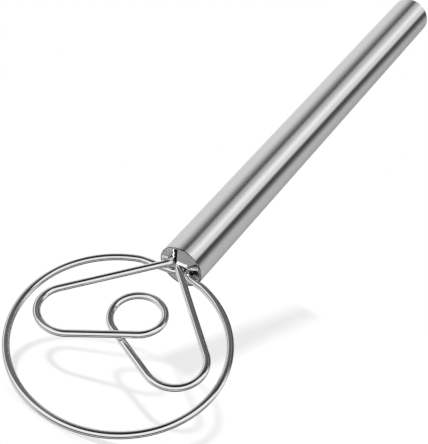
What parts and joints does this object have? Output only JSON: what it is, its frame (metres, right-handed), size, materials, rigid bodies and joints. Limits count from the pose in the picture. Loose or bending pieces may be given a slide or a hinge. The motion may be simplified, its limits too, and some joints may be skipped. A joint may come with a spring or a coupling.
{
  "type": "dough whisk",
  "caption": "Round flat wire hoop with a two-lobed inner wire loop on a straight metal tube handle, for mixing stiff dough and batter.",
  "frame": {"origin": "middle of the handle's mouth, where the wires come out, on the handle's axis", "axes": "+X along the handle from its mouth to its butt, the hoop parallel to the XY plane and the inner loop on its +Z side"},
  "size_m": [0.3472, 0.0972, 0.022],
  "materials": {
    "handle": "brushed round the tube",
    "throat": "satin",
    "plug": "plain",
    "wire": "polished"
  },
  "bodies": {
    "root": {"handle_tube": "handle", "butt_cap": "handle", "throat_cap": "throat", "anchor_plug": "plug", "hoop_wire": "wire", "loop_wire": "wire"}
  },
  "joints": []
}
